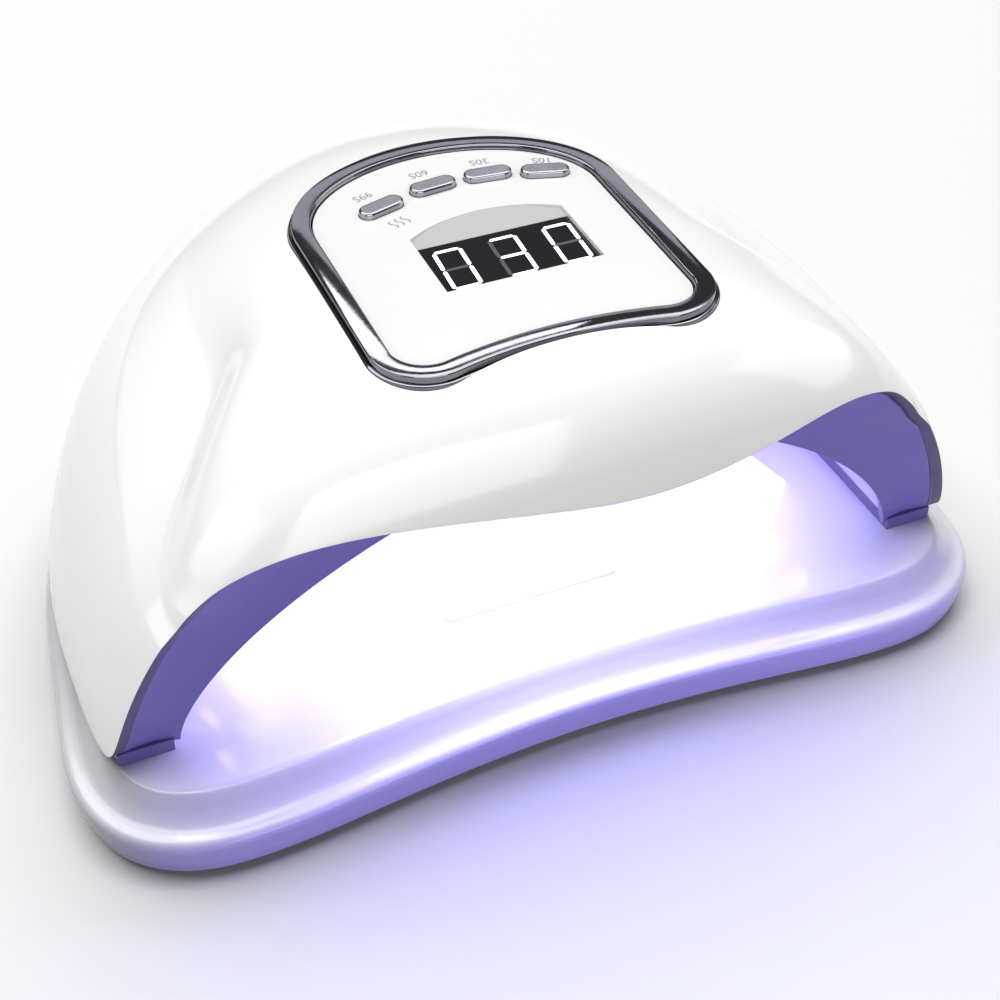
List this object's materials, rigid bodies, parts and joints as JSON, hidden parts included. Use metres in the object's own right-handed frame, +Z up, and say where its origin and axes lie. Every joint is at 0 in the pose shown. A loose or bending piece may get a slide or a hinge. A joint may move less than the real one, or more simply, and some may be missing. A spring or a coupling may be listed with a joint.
{
  "type": "uv led nail lamp",
  "caption": "Dome-shaped UV LED nail curing lamp: open-fronted lamp housing with chrome-trimmed control panel on a removable floor tray.",
  "frame": {"origin": "centre of the bounding box footprint, on the table plane under the rubber feet", "axes": "+Z up, -Y out of the hand opening, +X to the right seen from the opening"},
  "size_m": [0.2284, 0.184, 0.1027],
  "materials": {
    "white_gloss": "glossy moulded",
    "chrome": "mirror plated",
    "panel_white": "glossy moulded",
    "window_black": "smoked clear plastic",
    "display_black": "satin moulded",
    "board_green": "solder mask",
    "screw_steel": "zinc plated",
    "component_black": "moulded",
    "button_chrome": "mirror plated",
    "liner_white": "reflective white",
    "bezel_white": "satin moulded",
    "led_board_white": "white coated",
    "led_violet": "clear lens",
    "frame_white": "moulded",
    "magnet_nickel": "nickel plated",
    "inlet_black": "moulded",
    "contact_nickel": "nickel plated",
    "tray_white": "glossy moulded",
    "cover_white": "moulded",
    "foot_rubber": "matt",
    "disc_steel": "plain"
  },
  "bodies": {
    "tray": {"tray_shell": "tray_white", "tray_bottom_cover": "cover_white", "tray_screws": "screw_steel", "rubber_feet": "foot_rubber", "tray_steel_discs": "disc_steel"},
    "housing": {"outer_shell": "white_gloss", "chrome_trim_ring": "chrome", "control_panel_plate": "panel_white", "display_window": "window_black", "display_module": "display_black", "control_board": "board_green", "control_board_screws": "screw_steel", "control_board_parts": "component_black", "sounder": "component_black", "button_switches": "component_black", "reflector_liner": "liner_white", "front_bezel": "bezel_white", "led_board_top": "led_board_white", "led_board_left": "led_board_white", "led_board_right": "led_board_white", "led_board_back": "led_board_white", "led_emitters_top": "led_violet", "led_emitters_left": "led_violet", "led_emitters_right": "led_violet", "led_emitters_back": "led_violet", "sensor_window": "window_black", "sensor_board": "board_green", "driver_board": "board_green", "driver_board_parts": "component_black", "bottom_frame": "frame_white", "frame_screws": "screw_steel", "housing_magnets": "magnet_nickel", "power_inlet": "inlet_black", "power_inlet_contact": "contact_nickel"},
    "button_99": {"button_99": "button_chrome"},
    "button_60": {"button_60": "button_chrome"},
    "button_30": {"button_30": "button_chrome"},
    "button_10": {"button_10": "button_chrome"}
  },
  "joints": [
    {"name": "housing_lift_off", "type": "slide", "parent": "tray", "child": "housing", "axis": [0, 0, 1], "range_m": [0, 0.06]},
    {"name": "press_99", "type": "slide", "parent": "housing", "child": "button_99", "axis": [0, 0, -1], "range_m": [0, 0.001], "stiffness_N_per_m": 300, "springref_m": -0.0008},
    {"name": "press_60", "type": "slide", "parent": "housing", "child": "button_60", "axis": [0, 0, -1], "range_m": [0, 0.001], "stiffness_N_per_m": 300, "springref_m": -0.0008},
    {"name": "press_30", "type": "slide", "parent": "housing", "child": "button_30", "axis": [0, 0, -1], "range_m": [0, 0.001], "stiffness_N_per_m": 300, "springref_m": -0.0008},
    {"name": "press_10", "type": "slide", "parent": "housing", "child": "button_10", "axis": [0, 0, -1], "range_m": [0, 0.001], "stiffness_N_per_m": 300, "springref_m": -0.0008}
  ]
}
